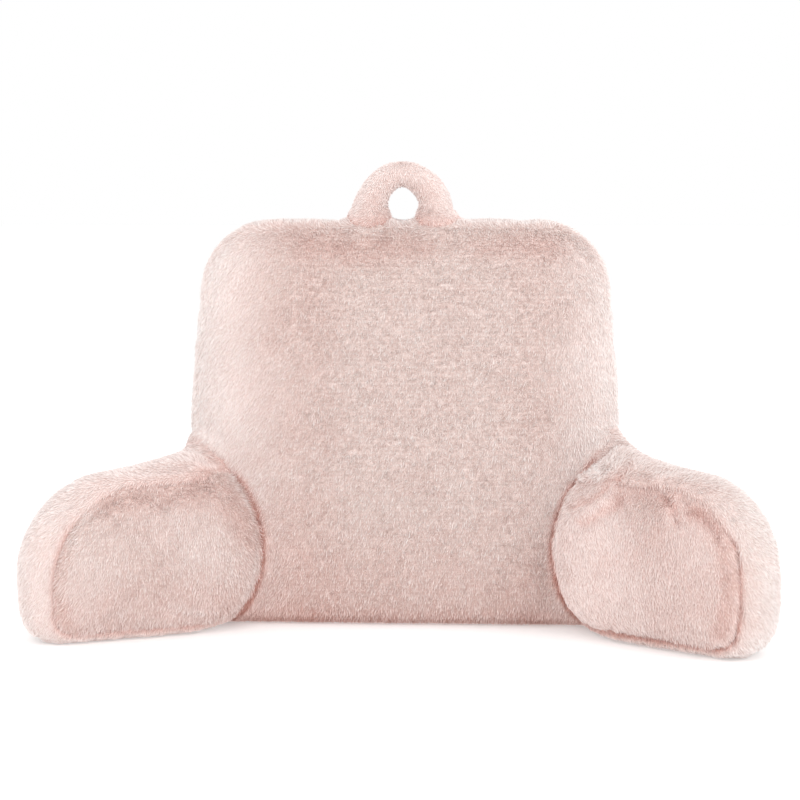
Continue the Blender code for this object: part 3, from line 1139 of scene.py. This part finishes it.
def make_arm(word):
    place = ARM_PLACES[word]
    along, through = arm_axes(place)
    node = f"arm_{word}"
    arm = start_cushion(f"arm_{word}_cloth", node, ARM_VOXEL)
    draw_in(arm, node)
    points, normals = surface(arm)
    _, deep = arm_frame(place, points)
    rear_seam = gauss(normals @ through, SEAM_FACING, SEAM_SPREAD) * (deep > REAR_SEAM_DEPTH)
    billow(arm, rear_seam)
    sink_seams(arm, rear_seam)
    dent(arm, 0.0020, 15.0, 21 + place.side)
    subdivide_once(arm)
    folds = press_folds(arm, ARM_FOLDS[word])

    points, normals = surface(arm)
    out, deep = arm_frame(place, points)
    rear = (normals @ through) > REAR_FACING
    nap = np.where(
        rear[:, None],
        np.array((0.0, 0.0, -1.0)) + 0.3 * along,
        0.35 * through + 0.45 * along + np.array((0.0, 0.0, -0.8)),
    )
    comb = np.clip(ARM_COMB[word] + 0.2 * noise_at(points, 12.0, 31), 0, 1)
    # Painted shade: darker along the seam with the arm panel, where deep is near 0.
    tone = ORDINARY + ARM_TONE[word] + 0.08 * ramp(out, 0.08, 0.24) - 0.16 * gauss(deep, 0.0, 0.022)
    tone -= ARM_FOLD_SHADE * folds
    inner = 1.0 - ramp(np.abs(points[:, 0]), 0.190, 0.235)
    tone -= SHADED_JOIN[word] * inner * ramp(points[:, 2], 0.125, 0.150)
    dress(arm, node, (nap, comb, tone), f"arm_{word}_pile", 31 + place.side, 0.85)


def make_panel(word):
    place = ARM_PLACES[word]
    along, _ = arm_axes(place)
    node = f"arm_panel_{word}"
    panel = start_cushion(f"arm_panel_{word}_cloth", node, PANEL_VOXEL)
    draw_in(panel, node)
    billow(panel)
    dent(panel, 0.0018, 17.0, 41 + place.side)
    subdivide_once(panel)
    folds = press_folds(panel, PANEL_FOLDS[word])

    points, _ = surface(panel)
    ragged = 0.004 * noise_at(points, COARSE, 6) + 0.003 * noise_at(points, FINE, 7)
    nap = np.tile(np.array((0.0, 0.0, -1.0)) + 0.45 * along, (len(points), 1))
    comb = np.clip(PANEL_COMB[word] + 0.30 * noise_at(points, 14.0, 5), 0, 1)
    tone = ORDINARY + PANEL_TONE[word] - PANEL_FOLD_SHADE * folds
    if word == "left":
        # Painted shade low on the left panel, near the floor.
        tone -= 0.14 * (1.0 - ramp(points[:, 2], 0.03, 0.09))
    else:
        comb = np.clip(comb + 0.30 * (1.0 - ramp(points[:, 0], 0.215, 0.275)), 0, 1)
    for parting in PANEL_PARTINGS[word]:
        near = distance_to_route(points, parting.route) + ragged
        amount = parting.amount * ramp(1.7 - near / parting.width, 0.0, 1.4)
        tone -= amount
        comb *= 1.0 - ramp(amount, 0.05, 0.25)
    dress(panel, node, (nap, comb, tone), f"arm_panel_{word}_pile", 51 + place.side, 0.8)


# ---------------- the loop


LOOP_VOXEL = 0.0040
LOOP_DEPTH = 0.12  # its pile is clipped shorter than that of the cushions
LOOP_SWELL = 0.002


def make_loop():
    loop = start_cushion("carry_loop_cloth", "carry_handle", LOOP_VOXEL)
    draw_in(loop, "carry_handle", LOOP_DEPTH)
    billow(loop, most=LOOP_SWELL)
    dent(loop, 0.0012, 40.0, 61)
    subdivide_once(loop)

    x, _, z = surface(loop)[0].T
    low, high = (np.array(corner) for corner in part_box("carry_handle"))
    across = (x - (low[0] + high[0]) / 2) / (high[0] - low[0])
    nap = np.stack((across * 2.0, np.zeros(len(x)), np.full(len(x), -0.8)), axis=1)
    outside = ramp(np.hypot(across * 2.0, (z - low[2]) / (high[2] - low[2])), 0.72, 0.95)
    comb = 0.54 + 0.38 * outside
    # Painted shade at the foot of the loop, where it meets the back.
    tone = ORDINARY - 0.12 + 0.04 * outside - 0.12 * gauss(z, low[2] + 0.004, 0.006)
    clipped = {"length": 0.66, "spacing": 0.82, "swirl": 0.4, "unrest": 0.2}
    dress(loop, "carry_handle", (nap, comb, tone), "carry_loop_pile", 71, 0.7, **clipped)


# ---------------- the studio


FOCAL_PX = 2122.0
IMAGE_PX = 800.0
AIM_PX = (404.5, 427.5)
SENSOR_MM = 36.0
FLOOR_SIZE = 30.0
FLOOR_SURFACE = {
    "Base Color": (0.94, 0.94, 0.94, 1.0),
    "Roughness": 0.9,
    "Emission Color": (1.0, 1.0, 1.0, 1.0),
    "Emission Strength": 0.25,  # a lit floor, which keeps the shadows on it faint
}
LIGHT_SIZE = 1.6
LIT_POINT = (0.0, -0.05, 0.22)  # where the lights point


def aim(obj, target):
    obj.rotation_euler = (Vector(target) - obj.location).to_track_quat("-Z", "Y").to_euler()


def area_light(name, location, power):
    light = bpy.data.lights.new(name, "AREA")
    light.shape = "SQUARE"
    light.size = LIGHT_SIZE
    light.energy = power
    obj = new_object(name, light)
    obj.location = location
    aim(obj, LIT_POINT)


def make_camera(studio):
    camera = bpy.data.cameras.new("studio camera")
    camera.sensor_width = SENSOR_MM
    camera.lens = FOCAL_PX / IMAGE_PX * SENSOR_MM
    camera.shift_x = (IMAGE_PX / 2 - AIM_PX[0]) / IMAGE_PX
    camera.shift_y = (AIM_PX[1] - IMAGE_PX / 2) / IMAGE_PX
    camera.dof.use_dof = False
    obj = new_object("studio camera", camera)
    away, turn = studio.camera_distance, studio.camera_azimuth
    obj.location = (away * math.sin(turn), -away * math.cos(turn), studio.camera_height)
    aim(obj, (0.0, 0.0, studio.aim_height))
    bpy.context.scene.camera = obj


def make_floor():
    bm = bmesh.new()
    bmesh.ops.create_grid(bm, x_segments=1, y_segments=1, size=FLOOR_SIZE)
    mesh = bpy.data.meshes.new("studio_floor")
    bm.to_mesh(mesh)
    bm.free()
    floor = new_object("studio_floor", mesh)
    mesh.materials.append(new_material("pale floor", FLOOR_SURFACE)[0])


def make_surround(strength):
    """A surround that looks white and lights the pillow with the given strength."""
    world = bpy.data.worlds.new("white surround")
    world.use_nodes = True
    shader = world.node_tree.nodes["Background"]
    shader.inputs["Color"].default_value = (1.0, 1.0, 1.0, 1.0)
    tree = world.node_tree
    seen = add_node(tree, "ShaderNodeLightPath").outputs["Is Camera Ray"]
    tree.links.new(calculate("MAXIMUM", seen, strength), shader.inputs["Strength"])
    bpy.context.scene.world = world


# ---------------- operators


class PILLOW_OT_make_back(Operator):
    """Makes the back: its filled cloth, sewn edges and pile"""

    bl_idname = "pillow.make_back"
    bl_label = "Back"

    def execute(self, context):
        make_back()
        return {"FINISHED"}


class PILLOW_OT_make_arms(Operator):
    """Makes both arms: the strip, the outer face and their pile"""

    bl_idname = "pillow.make_arms"
    bl_label = "Arms"

    def execute(self, context):
        for word in ARM_PLACES:
            make_arm(word)
        return {"FINISHED"}


class PILLOW_OT_make_panels(Operator):
    """Makes the inner panel of each arm and its pile"""

    bl_idname = "pillow.make_panels"
    bl_label = "Arm panels"

    def execute(self, context):
        for word in ARM_PLACES:
            make_panel(word)
        return {"FINISHED"}


class PILLOW_OT_make_loop(Operator):
    """Makes the padded carrying loop and its pile"""

    bl_idname = "pillow.make_loop"
    bl_label = "Carrying loop"

    def execute(self, context):
        make_loop()
        return {"FINISHED"}


class PILLOW_OT_make_studio(Operator):
    """Sets the pale floor, the soft light and the camera"""

    bl_idname = "pillow.make_studio"
    bl_label = "Studio"

    def execute(self, context):
        studio = context.scene.reading_pillow.studio
        make_floor()
        make_surround(studio.surround)
        area_light("key light", (-0.72, -2.36, 1.62), studio.key_power)
        area_light("back light", (0.5, 2.5, 1.1), studio.back_power)
        area_light("fill light", (1.85, -1.60, 1.25), studio.fill_power)
        make_camera(studio)
        context.scene.view_settings.view_transform = "Standard"
        return {"FINISHED"}


class PILLOW_PT_panel(Panel):
    """Lists the steps that dress the pillow"""

    bl_idname = "PILLOW_PT_panel"
    bl_label = "Reading Pillow"
    bl_space_type = "VIEW_3D"
    bl_region_type = "UI"
    bl_category = "Reading Pillow"

    def draw(self, context):
        settings = context.scene.reading_pillow
        for group in (settings.cushion, settings.plush, settings.studio):
            box = self.layout.box()
            for name in group.__annotations__:
                box.prop(group, name)
        for step in STEPS:
            self.layout.operator(step.bl_idname)


STEPS = (
    PILLOW_OT_make_studio,
    PILLOW_OT_make_back,
    PILLOW_OT_make_arms,
    PILLOW_OT_make_panels,
    PILLOW_OT_make_loop,
)
CLASSES = (
    PlushSettings,
    CushionSettings,
    StudioSettings,
    ReadingPillowSettings,
    *STEPS,
    PILLOW_PT_panel,
)


def register():
    for each in CLASSES:
        register_class(each)
    bpy.types.Scene.reading_pillow = PointerProperty(type=ReadingPillowSettings)


def unregister():
    del bpy.types.Scene.reading_pillow
    for each in reversed(CLASSES):
        unregister_class(each)


def main():
    register()
    bpy.ops.pillow.make_studio()
    bpy.ops.pillow.make_back()
    bpy.ops.pillow.make_arms()
    bpy.ops.pillow.make_panels()
    bpy.ops.pillow.make_loop()


if __name__ == "__main__":
    main()
